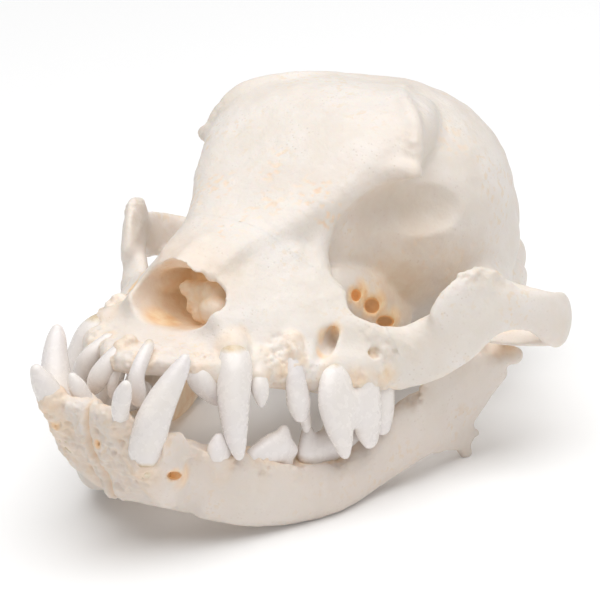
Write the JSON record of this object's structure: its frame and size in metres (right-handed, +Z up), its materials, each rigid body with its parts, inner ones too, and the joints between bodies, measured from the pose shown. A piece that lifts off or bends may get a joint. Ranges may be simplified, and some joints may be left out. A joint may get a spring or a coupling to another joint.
{
  "type": "dog skull",
  "caption": "Skull of a short-faced dog with its lower jaw and teeth, standing on the jaw, for display and study.",
  "frame": {"origin": "on the floor, under the middle of the whole skull's box", "axes": "+Z up, -Y the way the snout points, +X to the dog's left"},
  "size_m": [0.1002, 0.1239, 0.066],
  "materials": {
    "braincase": "dry bone, matte",
    "muzzle": "dry bone, matte, with glossier teeth",
    "zygomatic_arch_left": "dry bone, matte",
    "zygomatic_arch_right": "dry bone, matte",
    "mandible_left": "dry bone, matte, with glossier teeth",
    "mandible_right": "dry bone, matte, with glossier teeth"
  },
  "bodies": {
    "root": {"braincase": "braincase", "muzzle": "muzzle", "zygomatic_arch_left": "zygomatic_arch_left", "zygomatic_arch_right": "zygomatic_arch_right", "mandible_left": "mandible_left", "mandible_right": "mandible_right"}
  },
  "joints": []
}
